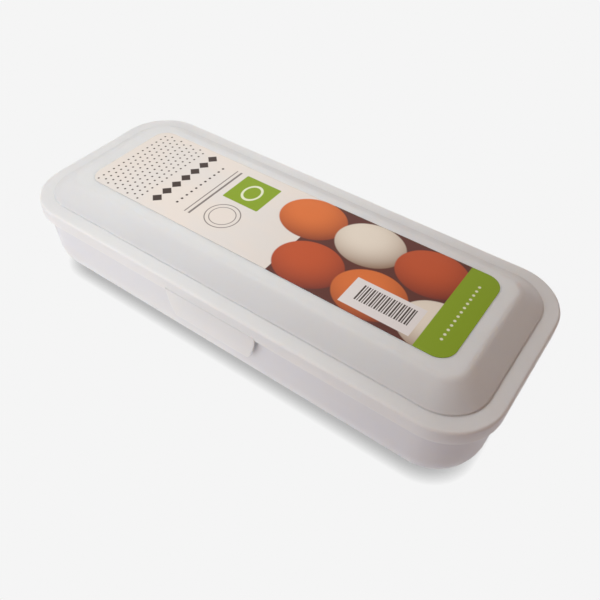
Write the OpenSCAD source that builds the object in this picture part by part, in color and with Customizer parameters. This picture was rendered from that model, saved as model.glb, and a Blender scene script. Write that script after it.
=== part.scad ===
// Egg keeper with a flip lid: a long, low polypropylene box for ten eggs.
// Millimetres. Origin: middle of the base, on the surface the box stands on. +Z up, front is -Y.

/* [Box] */
// Length over the lid
box_l = 290; // [285:1:305]
// Width over the lid, front to back
box_w = 118; // [116:1:124]
// Height to the top of the lid's raised middle
box_h = 61.3; // [60:0.1:66]
// Radius of the lid's corners, seen from above
lid_corner = 29; // [26:0.5:30]
// Wall thickness of the lid
lid_wall = 1.2; // [1:0.1:1.5]
// Wall thickness of the tub
tub_wall = 1.4; // [1.2:0.1:1.6]

/* [Lid] */
// Height of the raised middle over the lid's flat border
dome_rise = 8.8; // [7:0.1:10]
// Width of the flat border
border = 8.3; // [7:0.1:9]
// Width of the slope from the border up to the flat top
slope_w = 12.9; // [11:0.1:15]
// Step at the foot of the slope
crease = 0.8; // [0.4:0.1:1.2]
// Radius of the raised middle's corners, at its foot
dome_corner = 22; // [20:0.5:24]
// How far the skirt hangs below the border
skirt_h = 8.2; // [7:0.1:9]

/* [Tub] */
// Gap between the skirt and the tub's rim
skirt_gap = 0.4; // [0.35:0.05:0.6]
// How far the wall stands back from the rim band
band_step = 0.8; // [0.4:0.1:1]
// Radius of the tub's corners, seen from above
tub_corner = 28; // [26:0.5:29]
// Radius of the rounded foot
foot_r = 22; // [18:0.5:22]
// How far a wall leans in from rim to foot
draft = 1; // [0.6:0.1:1.4]

/* [Egg tray] */
// Radius of the bowl that one egg stands in
bowl_r = 22.5; // [21:0.5:23]
// Distance between bowls along the box
pitch_x = 54.5; // [52:0.5:55]
// Distance between the two rows
pitch_y = 53; // [51:0.5:54]
// Wall thickness of the tray
tray_wall = 1.1; // [1:0.1:1.2]
// Radius of the hole in the bottom of a bowl
drain_r = 7; // [4:0.5:8]
// Height of the lip round the tray
tray_lip = 2.5; // [2:0.5:5]

/* [Hinge] */
// Distance of each hinge from the middle
hinge_x = 75; // [60:1:95]
// Radius of the moulded pin
pin_r = 1.7; // [1.5:0.1:2]
// Length of the clip that turns on the pin
clip_l = 29; // [20:1:34]
// Running clearance between pin and clip
running = 0.05; // [0.03:0.01:0.08]
// Thickness of the two cheeks that hold a pin
cheek_t = 3; // [2:0.5:4]
// Gap between a cheek and the clip
cheek_gap = 0.5; // [0.3:0.1:0.8]

/* [Latch] */
// Width of the latch flap, at its top
latch_w = 58; // [44:1:62]
// Height of the latch flap
latch_h = 17; // [15:0.5:20]
// Radius of its bowed sides, which draw in towards the lower edge
latch_side_r = 34; // [28:1:60]
// Radius of its two lower corners
latch_corner = 2; // [1:0.5:4]
// Gap between the flap's ends and the skirt
latch_gap = 0.3; // [0.2:0.1:0.6]
// Width of the catch on the tub, behind the flap
catch_w = 34; // [20:1:40]

/* [Label] */
// Length of the printed sheet on the lid
label_l = 230; // [200:1:236]
// Width of the printed sheet
label_w = 63; // [50:1:64]
// Radius of its corners
label_corner = 9; // [4:0.5:12]
// Thickness of the sheet
label_t = 0.2; // [0.15:0.05:0.3]

/* [Hidden] */
$fn = 96;
overlap = 0.01;                           // joined shapes run this far into each other

half_l = box_l / 2;
half_w = box_w / 2;
border_z = box_h - dome_rise;             // top of the lid's flat border
skirt_z = border_z - skirt_h;             // lower edge of the skirt
seat_gap = 0.3;                           // between the rim and the lid's underside
rim_z = border_z - lid_wall - seat_gap;   // top of the tub
edge_r = 1.2;                             // rounding along the lid's outer edge
top_edge_r = 6;                           // rounding where the slope meets the flat top

band_h = 5.5;                             // height of the rim band
band_in = lid_wall + skirt_gap;           // rim band, measured in from the lid's outline
wall_in = band_in + band_step;            // tub wall, measured in from the lid's outline

// Centre of the bowls, whose drain edges stand on the tub's floor
bowl_z = tub_wall + sqrt(pow(bowl_r + tray_wall, 2) - pow(drain_r, 2));
tray_gap = 0.5;                           // between the tray and the tub's wall
tray_in = wall_in + tub_wall + draft + tray_gap;   // tray outline, in from the lid's outline
tray_corner = tub_corner - tub_wall - draft - tray_gap;
notch_r = 11;                             // finger notch at each end of the tray

axis_y = half_w + 2.2;                    // hinge axis, behind and below the rear border
axis_z = border_z - 9.5;
clip_r = pin_r + running + 1.5;
cheek_r = 3.3;
web_slope = 35;                           // lean of the webs that carry clips and cheeks
clip_web_z = border_z - 3;                // top of a clip's web
notch_gap = 0.9;                          // above a cheek, in the skirt's notch
cheek_web_h = 12;                         // how far a cheek's web runs down the wall
mouth_w = 1.5 * pin_r;                    // slot through which the clip snaps over the pin
station_w = clip_l + 2 * cheek_t + 4 * cheek_gap;

fold_r = lid_wall / 2;                    // the latch folds about this radius
fold_y = -half_w + fold_r;
fold_z = skirt_z + fold_r;
fold_room = 0.95;                         // notch above the fold, for the flap turned up
latch_low = fold_z - latch_h;             // lower edge of the flap
ledge_z = 35.2;                           // underside of the ledge that the flap's hook stops under
ledge_h = 3.3;
ledge_out = 0.75;
hook_h = 3.6;                             // hook behind the flap
hook_out = 0.35;
hook_gap = 0.6;                           // between the hook and the ledge above it

label_y = 1.5;                            // the sheet sits this far behind the middle

// One half of a moulding's section, given from the corner's centre (x = 0) to the wall, is swept
// round a box with round corners. The middle is filled from z0 to z1.
module moulding(l, w, r, z0, z1) {
    for (i = [0, 1], k = [0, 1]) mirror([i, 0, 0]) mirror([0, k, 0])
        translate([l - r, w - r, 0]) rotate_extrude(angle = 90) children();
    for (i = [0, 1]) mirror([i, 0, 0])
        translate([l - r, w - r, 0]) rotate([90, 0, 0]) linear_extrude(2 * (w - r)) children();
    rotate([90, 0, 90]) linear_extrude(2 * (l - r), center = true) {
        for (k = [0, 1]) mirror([k, 0, 0]) translate([w - r, 0, 0]) children();
        translate([-(w - r), z0]) square([2 * (w - r), z1 - z0]);
    }
}

// Flat outline with round corners
module outline(l, w, r) {
    square([2 * l, 2 * (w - r)], center = true);
    square([2 * (l - r), 2 * w], center = true);
    for (i = [-1, 1], k = [-1, 1]) translate([i * (l - r), k * (w - r)]) circle(r);
}

// Extrude a section given in (y, z) along X, centred
module along_x(length) {
    rotate([90, 0, 90]) linear_extrude(length, center = true) children();
}

// Tub section: leaning wall and large round foot
module tub_section(r, foot, z0, z1) {
    lean = atan(draft / (rim_z - foot));
    centre = [r - draft - foot, z0 + foot];
    intersection() {
        translate([0, z0]) square([r + 1, z1 - z0]);
        union() {
            translate(centre) circle(foot);
            polygon([[0, z0], [centre[0], z0], centre, centre + foot * [cos(lean), -sin(lean)],
                     [r, rim_z], [r, z1], [0, z1]]);
        }
    }
}

// Band round the rim, chamfered below, that the lid's skirt drops over
module band_section(r) {
    polygon([[0, rim_z - band_h], [r - band_step, rim_z - band_h],
             [r, rim_z - band_h + band_step], [r, rim_z], [0, rim_z]]);
}

// One cheek of a hinge: a disc on a sloping web
module cheek_section() {
    translate([axis_y, axis_z]) circle(cheek_r);
    polygon([[half_w - wall_in - tub_wall, axis_z + cheek_r], [axis_y, axis_z + cheek_r],
             [axis_y + cheek_r * cos(web_slope), axis_z - cheek_r * sin(web_slope)],
             [half_w - wall_in - tub_wall, axis_z - cheek_web_h]]);
}

module hinge_seat() {
    for (i = [-1, 1]) translate([i * (clip_l / 2 + cheek_gap + cheek_t / 2), 0, 0])
        along_x(cheek_t) cheek_section();
    translate([0, axis_y, axis_z]) rotate([0, 90, 0])
        cylinder(r = pin_r, h = clip_l + 2 * cheek_gap + 1, center = true);
}

// Ledge that the latch flap's hook stops under
module catch_rib() {
    wall_y = -(half_w - wall_in);
    along_x(catch_w) polygon([[wall_y + 1, ledge_z + ledge_h], [wall_y - 0.1, ledge_z + ledge_h],
                              [wall_y - ledge_out, ledge_z + 1], [wall_y - ledge_out, ledge_z],
                              [wall_y + 1, ledge_z]]);
}

module tub_body() {
    l = half_l - wall_in;
    w = half_w - wall_in;
    difference() {
        union() {
            moulding(l, w, tub_corner, 0, rim_z) tub_section(tub_corner, foot_r, 0, rim_z);
            moulding(half_l - band_in, half_w - band_in, lid_corner - band_in, rim_z - band_h, rim_z)
                band_section(lid_corner - band_in);
            for (i = [-1, 1]) translate([i * hinge_x, 0, 0]) hinge_seat();
            catch_rib();
        }
        moulding(l - tub_wall, w - tub_wall, tub_corner - tub_wall, tub_wall, rim_z + 1)
            tub_section(tub_corner - tub_wall, foot_r - tub_wall, tub_wall, rim_z + 1);
    }
}

// Section of one bowl: part of a ring round the bowl's centre
module bowl_section() {
    difference() {
        intersection() {
            translate([0, bowl_z]) circle(bowl_r + tray_wall);
            translate([drain_r, 0]) square([bowl_r, bowl_z]);
        }
        translate([0, bowl_z]) circle(bowl_r);
    }
}

// Outline of the tray, with finger notches for lifting it out
module tray_outline() {
    l = half_l - tray_in;
    w = half_w - tray_in;
    difference() {
        outline(l, w, tray_corner);
        for (i = [-1, 1]) translate([i * l, 0]) circle(notch_r);
    }
}

// The tray is one moulding of a deck, a rim that stands on it and ten bowls that hang under it.
// They meet face to face.
module deck_body() {
    translate([0, 0, bowl_z]) linear_extrude(tray_wall) difference() {
        tray_outline();
        for (i = [-2:2], k = [-1, 1]) translate([i * pitch_x, k * pitch_y / 2]) circle(bowl_r);
    }
}

module rim_body() {
    translate([0, 0, bowl_z + tray_wall]) linear_extrude(tray_lip) difference() {
        tray_outline();
        outline(half_l - tray_in - tray_wall, half_w - tray_in - tray_wall, tray_corner - tray_wall);
    }
}

// One row of five bowls: -1 is the front row, 1 the rear
module bowl_row(side) {
    for (i = [-2:2]) translate([i * pitch_x, side * pitch_y / 2, 0]) rotate_extrude() bowl_section();
}

// Outer section of the lid's border and skirt
module border_section(r) {
    translate([r - edge_r, border_z - edge_r]) circle(edge_r);
    translate([0, skirt_z]) square([r, skirt_h - edge_r]);
    translate([0, skirt_z]) square([r - edge_r, skirt_h]);
}

// Section of the raised middle: a step, a slope and a round edge, all taken in by t
module dome_section(r, t) {
    foot = border_z + crease;
    angle = atan((dome_rise - crease) / slope_w);
    tangent = top_edge_r * tan(angle / 2);
    round_r = top_edge_r - t;
    centre = [r - slope_w - tangent, box_h - top_edge_r];
    intersection() {
        translate([0, border_z - 2]) square([r + 1, dome_rise + 2]);
        union() {
            translate(centre) circle(round_r);
            polygon([[0, border_z - 2], [r - t, border_z - 2], [r - t, foot - t * tan(angle / 2)],
                     centre + round_r * [sin(angle), cos(angle)], centre,
                     [centre[0], box_h - t], [0, box_h - t]]);
        }
    }
}

// Clip that snaps over a hinge pin and hangs from the rear skirt
module clip_section() {
    difference() {
        union() {
            translate([axis_y, axis_z]) circle(clip_r);
            polygon([[half_w - lid_wall, axis_z], [axis_y, axis_z],
                     [axis_y + clip_r * cos(web_slope), axis_z + clip_r * sin(web_slope)],
                     [half_w, clip_web_z], [half_w - lid_wall, clip_web_z]]);
        }
        translate([axis_y, axis_z]) circle(pin_r + running);
        translate([axis_y - mouth_w / 2, axis_z - 2 * clip_r]) square([mouth_w, 2 * clip_r]);
    }
}

module lid_body() {
    inner_r = lid_corner - lid_wall;
    opening_w = latch_w + 2 * latch_gap;
    dome_l = half_l - border;
    dome_w = half_w - border;
    difference() {
        union() {
            moulding(half_l, half_w, lid_corner, skirt_z, border_z) border_section(lid_corner);
            moulding(dome_l, dome_w, dome_corner, border_z - 2, box_h) dome_section(dome_corner, 0);
        }
        moulding(half_l - lid_wall, half_w - lid_wall, inner_r, skirt_z - 1, border_z - lid_wall)
            translate([0, skirt_z - 1]) square([inner_r, skirt_h + 1 - lid_wall]);
        moulding(dome_l, dome_w, dome_corner, border_z - 2, box_h - lid_wall)
            dome_section(dome_corner, lid_wall);
        // Notches in the rear skirt for the hinge cheeks
        for (i = [-1, 1]) translate([i * hinge_x - station_w / 2, half_w - 2 * lid_wall, skirt_z - 1])
            cube([station_w, 3 * lid_wall, axis_z + cheek_r + notch_gap - skirt_z + 1]);
        // Notch in the front skirt's lower edge, and the groove that the latch folds in
        translate([-opening_w / 2, -half_w - 1, skirt_z - 1])
            cube([opening_w, 1 + lid_wall + skirt_gap / 2, fold_r + 1]);
        translate([-opening_w / 2, -half_w - 1, skirt_z])
            cube([opening_w, 1 + fold_r, fold_r + fold_room]);
        translate([0, fold_y, fold_z]) rotate([0, 90, 0])
            cylinder(r = fold_r + running, h = opening_w, center = true);
    }
    for (i = [-1, 1]) translate([i * hinge_x, 0, 0]) along_x(clip_l) clip_section();
}

// Flap seen from the front: bowed sides that run round the lower corners
module latch_outline() {
    bow_x = latch_w / 2 - latch_side_r;
    inner_r = latch_side_r - latch_corner;
    corner_z = latch_low + latch_corner;
    corner_x = bow_x + sqrt(pow(inner_r, 2) - pow(latch_h - latch_corner, 2));
    // Where a side's bow meets its corner
    meet_x = bow_x + (corner_x - bow_x) * latch_side_r / inner_r;
    meet_z = fold_z + (corner_z - fold_z) * latch_side_r / inner_r;
    intersection() {
        translate([-latch_w / 2, meet_z]) square([latch_w, fold_z - meet_z]);
        translate([bow_x, fold_z]) circle(latch_side_r, $fn = 2 * $fn);
        translate([-bow_x, fold_z]) circle(latch_side_r, $fn = 2 * $fn);
    }
    for (i = [-1, 1]) translate([i * corner_x, corner_z]) circle(latch_corner);
    polygon([[-corner_x, latch_low], [corner_x, latch_low], [corner_x, corner_z], [meet_x, meet_z],
             [-meet_x, meet_z], [-corner_x, corner_z]]);
}

module latch_body() {
    inner_y = fold_y + fold_r;
    hook_z = ledge_z - hook_gap;
    translate([0, inner_y, 0]) rotate([90, 0, 0]) linear_extrude(lid_wall) latch_outline();
    translate([0, fold_y, fold_z]) rotate([0, 90, 0]) cylinder(r = fold_r, h = latch_w, center = true);
    // Hook behind the flap, just under the tub's ledge
    along_x(catch_w - 4) polygon([[inner_y - overlap, hook_z - hook_h], [inner_y, hook_z - hook_h],
                                  [inner_y + hook_out, hook_z - 2 * hook_h / 3],
                                  [inner_y + hook_out, hook_z], [inner_y - overlap, hook_z]]);
}

module tub() {
    color([0.86, 0.85, 0.86]) tub_body();
}

module tray_deck() {
    color([0.80, 0.79, 0.82]) deck_body();
}

module tray_rim() {
    color([0.81, 0.80, 0.83]) rim_body();
}

module tray_bowls_front() {
    color([0.78, 0.77, 0.81]) bowl_row(-1);
}

module tray_bowls_rear() {
    color([0.78, 0.77, 0.81]) bowl_row(1);
}

module lid() {
    color([0.91, 0.90, 0.89]) lid_body();
}

module front_latch() {
    color([0.92, 0.91, 0.90]) latch_body();
}

module lid_label() {
    color([0.90, 0.86, 0.82]) translate([0, label_y, box_h]) linear_extrude(label_t)
        outline(label_l / 2, label_w / 2, label_corner);
}

tub();
tray_deck();
tray_rim();
tray_bowls_front();
tray_bowls_rear();
lid();
front_latch();
lid_label();
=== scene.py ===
# Looks of the egg keeper: frosted polypropylene, a printed film label and a plain studio
import math

import bpy
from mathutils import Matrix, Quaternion, Vector

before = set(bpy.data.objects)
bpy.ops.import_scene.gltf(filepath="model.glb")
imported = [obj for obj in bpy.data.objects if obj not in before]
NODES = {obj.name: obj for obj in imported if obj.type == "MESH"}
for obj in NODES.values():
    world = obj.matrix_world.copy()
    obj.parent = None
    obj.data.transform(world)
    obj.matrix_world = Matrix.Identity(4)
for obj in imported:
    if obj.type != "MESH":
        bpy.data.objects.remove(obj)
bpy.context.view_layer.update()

MM = 0.001


# Numbers and colours worked out over a surface

class Field:
    """A number that a material works out at each point of a surface."""

    def __init__(self, tree, source):
        self.tree = tree
        self.source = source

    def math(self, operation, *others):
        node = self.tree.nodes.new("ShaderNodeMath")
        node.operation = operation
        for socket, value in zip(node.inputs, (self, *others)):
            if isinstance(value, Field):
                self.tree.links.new(value.source, socket)
            else:
                socket.default_value = value
        return Field(self.tree, node.outputs[0])

    def __add__(self, other):
        return self.math("ADD", other)

    def __sub__(self, other):
        return self.math("SUBTRACT", other)

    def __mul__(self, other):
        return self.math("MULTIPLY", other)

    def __truediv__(self, other):
        return self.math("DIVIDE", other)

    def __abs__(self):
        return self.math("ABSOLUTE")

    def sqrt(self):
        return self.math("SQRT")

    def sine(self):
        return self.math("SINE")

    def least(self, other):
        return self.math("MINIMUM", other)

    def most(self, other):
        return self.math("MAXIMUM", other)

    def between(self, low, high):
        """The number kept from low to high."""
        return self.most(low).least(high)

    def ramp(self, start, end):
        """0 up to start, 1 from end, and a straight line between."""
        return ((self - start) / (end - start)).between(0.0, 1.0)

    def spread(self, low, high):
        """A number from 0 to 1 turned into one from low to high."""
        return self * (high - low) + low

    def repeat(self, pitch):
        """Distance from the middle of the nearest of many places, pitch apart."""
        return self.math("PINGPONG", pitch / 2)


def surface(name):
    """A new material and its shader."""
    mat = bpy.data.materials.new(name)
    mat.use_nodes = True
    return mat, mat.node_tree.nodes["Principled BSDF"]


def place_mm(tree):
    """Object coordinates in mm, as three fields. They move with the piece."""
    coordinates = tree.nodes.new("ShaderNodeTexCoord")
    split = tree.nodes.new("ShaderNodeSeparateXYZ")
    tree.links.new(coordinates.outputs["Object"], split.inputs[0])
    return [Field(tree, socket) / MM for socket in split.outputs]


def noise(tree, size_mm, stretch=(1, 1, 1), detail=2.0):
    """Noise from 0 to 1 whose grains are about size_mm across, times stretch."""
    coordinates = tree.nodes.new("ShaderNodeTexCoord")
    mapping = tree.nodes.new("ShaderNodeMapping")
    mapping.inputs["Scale"].default_value = [1 / (size_mm * MM * s) for s in stretch]
    grains = tree.nodes.new("ShaderNodeTexNoise")
    grains.inputs["Scale"].default_value = 1.0
    grains.inputs["Detail"].default_value = detail
    tree.links.new(coordinates.outputs["Object"], mapping.inputs["Vector"])
    tree.links.new(mapping.outputs[0], grains.inputs["Vector"])
    return Field(tree, grains.outputs[0])


def paint(tree, under, over, cover):
    """The colour over laid on the colour under, as far as cover says."""
    node = tree.nodes.new("ShaderNodeMix")
    node.data_type = "RGBA"
    tree.links.new(cover.source, node.inputs["Factor"])
    for name, colour in (("A", under), ("B", over)):
        socket = [s for s in node.inputs if s.name == name and s.type == "RGBA"][0]
        if isinstance(colour, tuple):
            socket.default_value = (*colour, 1)
        else:
            tree.links.new(colour, socket)
    return [s for s in node.outputs if s.type == "RGBA"][0]


def bevelled(tree, radius_mm):
    """Normals that turn smoothly round every edge."""
    bevel = tree.nodes.new("ShaderNodeBevel")
    bevel.samples = 6
    bevel.inputs["Radius"].default_value = radius_mm * MM
    return bevel.outputs[0]


def bump(tree, shader, height_mm, normals=None):
    """Relief of height_mm, a field, over the surface's own normals or the given ones."""
    node = tree.nodes.new("ShaderNodeBump")
    node.inputs["Distance"].default_value = MM
    tree.links.new(height_mm.source, node.inputs["Height"])
    if normals:
        tree.links.new(normals, node.inputs["Normal"])
    tree.links.new(node.outputs[0], shader.inputs["Normal"])


def dress(node, mat):
    """Give a node one material."""
    mesh = NODES[node].data
    mesh.materials.clear()
    mesh.materials.append(mat)


# Frosted polypropylene

# Colour of the painted highlight along edges and creases
PAINTED_EDGE_HIGHLIGHT = (1.0, 0.99, 0.97)
EDGE_RADIUS_MM = 1.0
# The painted highlight along edges starts and is full where 1 less the cosine of the normals' turn has
# these values
EDGE_TURN = (0.01, 0.12)
FROST_DEPTH_MM = 0.006
WAVE_DEPTH_MM = 0.12


def near_edges(tree, normals):
    """Where the painted highlight goes: 1 along edges and creases, where the bevelled normals leave the
    flat ones, and 0 elsewhere.
    """
    flat = tree.nodes.new("ShaderNodeNewGeometry")
    turn = tree.nodes.new("ShaderNodeVectorMath")
    turn.operation = "DOT_PRODUCT"
    tree.links.new(normals, turn.inputs[0])
    tree.links.new(flat.outputs["True Normal"], turn.inputs[1])
    return (Field(tree, turn.outputs["Value"]) * -1 + 1).ramp(*EDGE_TURN)


def frosted(name, colour, tint):
    """Milky plastic: light goes into the wall, a painted highlight lightens its edges and creases, and
    the skin has a fine frost.
    """
    mat, shader = surface(name)
    tree = mat.node_tree
    flow = noise(tree, size_mm=34, stretch=(2.5, 1.2, 1.2)).ramp(0.35, 0.65)
    skin = paint(tree, colour, tint, flow)
    normals = bevelled(tree, EDGE_RADIUS_MM)
    # Painted highlight: the colour is lightened along edges and creases
    skin = paint(tree, skin, PAINTED_EDGE_HIGHLIGHT, near_edges(tree, normals))
    tree.links.new(skin, shader.inputs["Base Color"])
    shader.inputs["Subsurface Weight"].default_value = 1.0
    shader.inputs["Subsurface Radius"].default_value = (1.0, 0.9, 0.8)
    shader.inputs["Subsurface Scale"].default_value = 3 * MM
    shader.inputs["Transmission Weight"].default_value = 0.18
    shader.inputs["IOR"].default_value = 1.49
    rough = noise(tree, size_mm=9, stretch=(4, 1, 1)).spread(0.32, 0.44)
    tree.links.new(rough.source, shader.inputs["Roughness"])
    frost = noise(tree, size_mm=0.5, detail=1.0) * FROST_DEPTH_MM
    waves = noise(tree, size_mm=14, stretch=(5, 1, 1)) * WAVE_DEPTH_MM
    bump(tree, shader, frost + waves, normals)
    return mat


# Shapes drawn on the label, as distances in mm: less than 0 inside a shape, and more than 0 outside

def disc(x, y, radius):
    """A disc round the point where x and y are 0."""
    return (x * x + y * y).sqrt() - radius


def block(x, y, half_l, half_w, corner=0.0):
    """An oblong with round corners."""
    out_x = abs(x) - (half_l - corner)
    out_y = abs(y) - (half_w - corner)
    far_x = out_x.most(0.0)
    far_y = out_y.most(0.0)
    return (far_x * far_x + far_y * far_y).sqrt() + out_x.most(out_y).least(0.0) - corner


def line(shape, width):
    """A line of that width along a shape's edge."""
    return abs(shape) - width / 2


def some_of(marks, y, pitch, count):
    """Only count of the marks that repeat along Y, an odd number about the one where y is 0."""
    return marks.most(abs(y) - count * pitch / 2)


def ink(shape, soft=0.15):
    """How far ink covers, from 0 outside a shape to 1 inside, over an edge of twice soft."""
    return (shape / (-2 * soft) + 0.5).between(0.0, 1.0)


# Lid label: plain ornament and soft ovals, in the place of the print
# Places and sizes are in mm, and places are measured from the box's middle

FILM = (0.71, 0.665, 0.635)
FILM_WARM = (0.74, 0.67, 0.62)
DARK_INK = (0.035, 0.018, 0.012)
GREY_INK = (0.20, 0.17, 0.16)
GREEN_INK = (0.215, 0.315, 0.004)
PALE_INK = (0.72, 0.74, 0.55)
SHADE_INK = (0.085, 0.013, 0.004)
PANEL_INK = (0.74, 0.70, 0.70)
ORANGE = (0.66, 0.155, 0.030)
BRICK = (0.48, 0.072, 0.013)
CREAM = (0.75, 0.67, 0.575)

RIPPLE_DEPTH_MM = 0.10
GRAIN_DEPTH_MM = 0.003
LABEL_END = max(vertex.co.x for vertex in NODES["lid_label"].data.vertices) / MM
ORNAMENT_Y = 3

DOT_PITCH = 3.9
DOT_R = 0.62
DOTS_X = -24 * DOT_PITCH
DOTS_Y = DOT_PITCH / 4
DOTS_HALF = (4.5 * DOT_PITCH, 7.5 * DOT_PITCH)

DIAMOND_X = -69.5
DIAMOND_PITCH = 2 * DOT_PITCH
DIAMOND_HALF = 3.5
DIAMONDS = 7
DISC_X = -58
DISC_R = 0.75
DISCS = 11
RULES = ((-49.5, 0.7), (-46.5, 1.3))  # place and width
RULE_HALF_L = 23

PATCH_X = -29.6
PATCH_Y = 14.4
PATCH_HALF = (12.2, 11.6)
PATCH_CORNER = 0.8
BADGE_R = 6.6
BADGE_NARROWING = 0.78
BADGE_LINE = 1.7
RINGS_X = -30
RINGS_Y = -11
RINGS = ((9.9, 0.6), (7.4, 0.5))  # radius and width

PICTURE_X = 56
PICTURE_HALF = 42
OVAL_HALF_L = 19.5
OVAL_HALF_W = 16.5
OVAL_ROWS = (  # each row's place along Y, and each oval's place along X with its colour
    (16.5, ((11, ORANGE), (47, CREAM), (83, BRICK))),
    (-14.5, ((29, BRICK), (65, ORANGE), (101, CREAM))),
)
OVAL_LIGHT = (-0.30, 0.34)  # the brightest place, in half lengths and half widths from an oval's middle
OVAL_FADE = (0.25, 1.45)  # how far from there the shade starts, and where it is full
OVAL_DEEP = (0.34, 0.22, 0.16)  # how much of the red, green and blue is left in full shade

PANEL_X = 73.8
PANEL_Y = -16.8
PANEL_HALF = (19.2, 9.6)
STRIPES_X = 74.6
STRIPES_Y = -15.6
STRIPES_HALF = (14.8, 5.6)
STRIPE_PITCH = 1.35
STRIPE_HALF = 0.36
STRIPE_WAVE = 2.3  # radians a mm
STRIPE_SWELL = 0.16  # how much the wave adds to a stripe's half width, or takes from it

BAND_LENGTH = 18
BAND_DOTS_X = 106
BAND_DOTS_Y = 1.5
BAND_DOT_PITCH = 3.4
BAND_DOTS = 13


def dots(tree, x, y, under):
    """Staggered dots that fill the block at the label's left end."""
    first = disc(x.repeat(2 * DOT_PITCH), y.repeat(DOT_PITCH), DOT_R)
    beside_x = x + DOT_PITCH
    beside_y = y + DOT_PITCH / 2
    second = disc(beside_x.repeat(2 * DOT_PITCH), beside_y.repeat(DOT_PITCH), DOT_R)
    room = block(x - DOTS_X, y - DOTS_Y, *DOTS_HALF)
    return paint(tree, under, DARK_INK, ink(first.least(second).most(room)))


def ornament(tree, x, y, under):
    """A column of diamonds, a column of small discs and a double rule, side by side."""
    along = y - ORNAMENT_Y
    diamonds = along.repeat(DIAMOND_PITCH) + abs(x - DIAMOND_X) - DIAMOND_HALF
    diamonds = some_of(diamonds, along, DIAMOND_PITCH, DIAMONDS)
    discs = some_of(disc(x - DISC_X, along.repeat(DOT_PITCH), DISC_R), along, DOT_PITCH, DISCS)
    picture = paint(tree, under, DARK_INK, ink(diamonds))
    picture = paint(tree, picture, DARK_INK, ink(discs))
    for rule_x, rule_w in RULES:
        rule = block(x - rule_x, along, rule_w / 2, RULE_HALF_L)
        picture = paint(tree, picture, GREY_INK, ink(rule))
    return picture


def patch_and_rings(tree, x, y, under):
    """A green patch with a plain oval ring, and a plain double ring before it."""
    patch = block(x - PATCH_X, y - PATCH_Y, *PATCH_HALF, corner=PATCH_CORNER)
    picture = paint(tree, under, GREEN_INK, ink(patch))
    badge = line(disc((x - PATCH_X) / BADGE_NARROWING, y - PATCH_Y, BADGE_R), BADGE_LINE)
    picture = paint(tree, picture, PALE_INK, ink(badge))
    for ring_r, ring_w in RINGS:
        ring = line(disc(x - RINGS_X, y - RINGS_Y, ring_r), ring_w)
        picture = paint(tree, picture, GREY_INK, ink(ring))
    return picture


def ovals(tree, x, y, under):
    """Two neat rows of softly shaded ovals on a dark ground, clipped by the label's edges."""
    ground = abs(x - PICTURE_X) - PICTURE_HALF
    picture = paint(tree, under, SHADE_INK, ink(ground))
    light_u, light_v = OVAL_LIGHT
    for row_y, row in OVAL_ROWS:
        for oval_x, colour in row:
            u = (x - oval_x) / OVAL_HALF_L
            v = (y - row_y) / OVAL_HALF_W
            rim = disc(u, v, 1.0) * OVAL_HALF_W
            shade = disc(u - light_u, v - light_v, 0.0).ramp(*OVAL_FADE)
            deep = tuple(c * left for c, left in zip(colour, OVAL_DEEP))
            skin = paint(tree, colour, deep, shade * shade)
            picture = paint(tree, picture, skin, ink(rim, soft=0.3))
    return picture


def striped_panel(tree, x, y, under):
    """A white panel with plain stripes, some broader than others."""
    panel = block(x - PANEL_X, y - PANEL_Y, *PANEL_HALF)
    picture = paint(tree, under, PANEL_INK, ink(panel))
    swell = (x * STRIPE_WAVE).sine() * STRIPE_SWELL
    stripes = x.repeat(STRIPE_PITCH) - STRIPE_HALF - swell
    stripes = stripes.most(block(x - STRIPES_X, y - STRIPES_Y, *STRIPES_HALF))
    return paint(tree, picture, DARK_INK, ink(stripes, soft=0.1))


def end_band(tree, x, y, under):
    """A green band at the label's right end, with a column of pale discs."""
    band = (x - (LABEL_END - BAND_LENGTH)) * -1
    picture = paint(tree, under, GREEN_INK, ink(band))
    along = y - BAND_DOTS_Y
    discs = disc(x - BAND_DOTS_X, along.repeat(BAND_DOT_PITCH), DISC_R)
    discs = some_of(discs, along, BAND_DOT_PITCH, BAND_DOTS)
    return paint(tree, picture, PALE_INK, ink(discs))


def print_label(name):
    """Satin film with the whole print, from the ground up."""
    mat, shader = surface(name)
    tree = mat.node_tree
    x, y, _ = place_mm(tree)
    mottle = noise(tree, size_mm=22, stretch=(1.5, 1, 1)).ramp(0.4, 0.6)
    picture = paint(tree, FILM, FILM_WARM, mottle)
    for draw in (dots, ornament, patch_and_rings, ovals, striped_panel, end_band):
        picture = draw(tree, x, y, picture)
    tree.links.new(picture, shader.inputs["Base Color"])
    shader.inputs["Specular IOR Level"].default_value = 0.25
    rough = noise(tree, size_mm=12).spread(0.33, 0.43)
    tree.links.new(rough.source, shader.inputs["Roughness"])
    ripple = noise(tree, size_mm=30, stretch=(1.6, 1, 1)) * RIPPLE_DEPTH_MM
    grain = noise(tree, size_mm=0.8) * GRAIN_DEPTH_MM
    bump(tree, shader, ripple + grain)
    return mat


# The pieces and their materials

lid_plastic = frosted("frosted_lid", colour=(0.93, 0.885, 0.865), tint=(0.89, 0.85, 0.84))
tub_plastic = frosted("frosted_tub", colour=(0.885, 0.85, 0.845), tint=(0.845, 0.82, 0.855))
tray_plastic = frosted("tray_plastic", colour=(0.80, 0.78, 0.81), tint=(0.78, 0.76, 0.80))
dress("lid", lid_plastic)
dress("front_latch", lid_plastic)
dress("tub", tub_plastic)
for node in NODES:
    if node.startswith("tray_"):
        dress(node, tray_plastic)
dress("lid_label", print_label("label_print"))


# Studio, in metres where no unit is named

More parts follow.
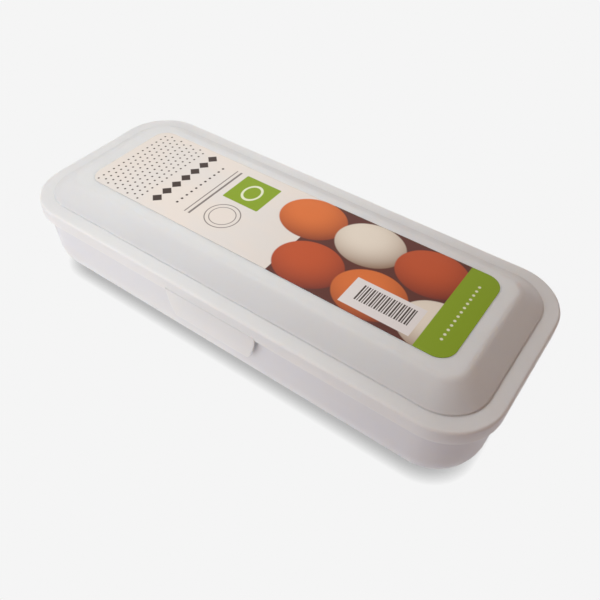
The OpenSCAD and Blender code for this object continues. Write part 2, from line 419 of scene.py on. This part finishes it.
FLOOR_SIZE = 6.0
BACKGROUND = (0.913, 0.913, 0.913)
BOUNCE_LEFT = (1.16, 1.15, 1.11)
BOUNCE_RIGHT = (0.37, 0.33, 0.36)
BOUNCE_FADE_MM = (-20, 220)  # along the object, from the left bounce to the right one
SHADOW_REACH = 9 * MM
SHADOW_DARK = 0.44
SHADOW_OPEN = (0.30, 1.0)  # how open the floor is where the shadow is darkest, and where it ends
WORLD_LIGHT = (0.25, 0.14, 0.09)
LEFT_X = -0.16  # just past the object's left end, where the photo's light is strongest
ABOVE_Z = 0.33
ABOVE_WIDTH = 0.30
BESIDE_X = -0.17
BESIDE_Z = 0.19
BESIDE_AIM = (LEFT_X, 0, 0.05)
BESIDE_SIZE = (0.40, 0.20)
BESIDE_LIGHT = (0.88, 0.93, 1.0)


def seen_directly(tree):
    """1 for what the camera sees, also by reflection or through the plastic."""
    path = tree.nodes.new("ShaderNodeLightPath")
    seen = Field(tree, path.outputs["Is Camera Ray"])
    for name in ("Is Glossy Ray", "Is Transmission Ray"):
        seen = seen.most(Field(tree, path.outputs[name]))
    return seen


def either(tree, low, high, share):
    """The shader high where share is 1, and low where it is 0."""
    node = tree.nodes.new("ShaderNodeMixShader")
    tree.links.new(share.source, node.inputs[0])
    tree.links.new(low, node.inputs[1])
    tree.links.new(high, node.inputs[2])
    return node.outputs[0]


def make_floor():
    """Pale floor: even to the camera, with a soft shadow where the object stands."""
    bpy.ops.mesh.primitive_plane_add(size=FLOOR_SIZE, location=(0, 0, 0))
    floor = bpy.context.object
    floor.name = "floor"
    mat = bpy.data.materials.new("floor")
    mat.use_nodes = True
    tree = mat.node_tree
    tree.nodes.remove(tree.nodes["Principled BSDF"])
    along, _, _ = place_mm(tree)
    bounce = tree.nodes.new("ShaderNodeEmission")
    fade = along.ramp(*BOUNCE_FADE_MM)
    tree.links.new(paint(tree, BOUNCE_LEFT, BOUNCE_RIGHT, fade), bounce.inputs["Color"])
    near = tree.nodes.new("ShaderNodeAmbientOcclusion")
    near.samples = 8
    near.inputs["Distance"].default_value = SHADOW_REACH
    open_sky = Field(tree, near.outputs["AO"]).ramp(*SHADOW_OPEN)
    glow = tree.nodes.new("ShaderNodeEmission")
    glow.inputs["Color"].default_value = (*BACKGROUND, 1)
    tree.links.new(open_sky.spread(SHADOW_DARK, 1).source, glow.inputs["Strength"])
    shown = either(tree, bounce.outputs[0], glow.outputs[0], seen_directly(tree))
    tree.links.new(shown, tree.nodes["Material Output"].inputs["Surface"])
    floor.data.materials.append(mat)


def make_world():
    """Soft light from all round, behind the same pale background as the floor."""
    world = bpy.data.worlds.new("studio")
    bpy.context.scene.world = world
    world.use_nodes = True
    tree = world.node_tree
    light = tree.nodes["Background"]
    light.inputs["Color"].default_value = (*WORLD_LIGHT, 1)
    backdrop = tree.nodes.new("ShaderNodeBackground")
    backdrop.inputs["Color"].default_value = (*BACKGROUND, 1)
    shown = either(tree, light.outputs[0], backdrop.outputs[0], seen_directly(tree))
    tree.links.new(shown, tree.nodes["World Output"].inputs["Surface"])


def panel_lamp(name, place, target, size, power, colour):
    """An oblong lamp aimed at a target. It lights the object only, so that the background stays even."""
    lamp = bpy.data.lights.new(name, "AREA")
    lamp.shape = "RECTANGLE"
    lamp.size, lamp.size_y = size
    lamp.energy = power
    lamp.color = colour
    obj = bpy.data.objects.new(name, lamp)
    bpy.context.scene.collection.objects.link(obj)
    obj.location = place
    obj.rotation_mode = "QUATERNION"
    obj.rotation_quaternion = (Vector(target) - Vector(place)).to_track_quat("-Z", "Y")
    obj.visible_camera = False
    lit = bpy.data.collections.new("lit_by_" + name)
    for node in NODES.values():
        lit.objects.link(node)
    obj.light_linking.receiver_collection = lit


def lamp_above(name, x, length, power, colour):
    """A lamp over the object that faces straight down."""
    panel_lamp(name, (x, 0, ABOVE_Z), (x, 0, 0), (length, ABOVE_WIDTH), power, colour)


def lamp_beside(name, y, power):
    """A lamp before or behind the object that faces its left end."""
    panel_lamp(name, (BESIDE_X, y, BESIDE_Z), BESIDE_AIM, BESIDE_SIZE, power, BESIDE_LIGHT)


make_floor()
make_world()
lamp_above("overhead", x=LEFT_X, length=0.40, power=0.655, colour=(0.87, 0.99, 1.0))
lamp_above("middle", x=-0.04, length=0.25, power=0.27, colour=(0.92, 1.0, 1.0))
lamp_beside("front", y=-0.32, power=0.68)
lamp_beside("rear", y=0.34, power=0.27)


# Camera, fitted to the photograph

IMAGE_PX = 600
FOCAL_PX = 638.3
CAMERA_PLACE = (0.15932, -0.20947, 0.28125)
CAMERA_AZIMUTH = math.radians(34.59)
CAMERA_ELEVATION = math.radians(46.39)
CAMERA_ROLL = math.radians(1.42)


def make_camera():
    """A camera that looks at the object from the front and a little from the right."""
    lens = bpy.data.cameras.new("camera")
    lens.sensor_width = 36
    lens.lens = FOCAL_PX / IMAGE_PX * lens.sensor_width
    lens.clip_start = 0.01
    lens.clip_end = 20
    camera = bpy.data.objects.new("camera", lens)
    bpy.context.scene.collection.objects.link(camera)
    bpy.context.scene.camera = camera
    camera.location = CAMERA_PLACE
    level = math.cos(CAMERA_ELEVATION)
    back = Vector((math.sin(CAMERA_AZIMUTH) * level, -math.cos(CAMERA_AZIMUTH) * level,
                   math.sin(CAMERA_ELEVATION)))
    camera.rotation_mode = "QUATERNION"
    camera.rotation_quaternion = Quaternion(back, CAMERA_ROLL) @ (-back).to_track_quat("-Z", "Y")


make_camera()
bpy.context.scene.view_settings.view_transform = "Standard"
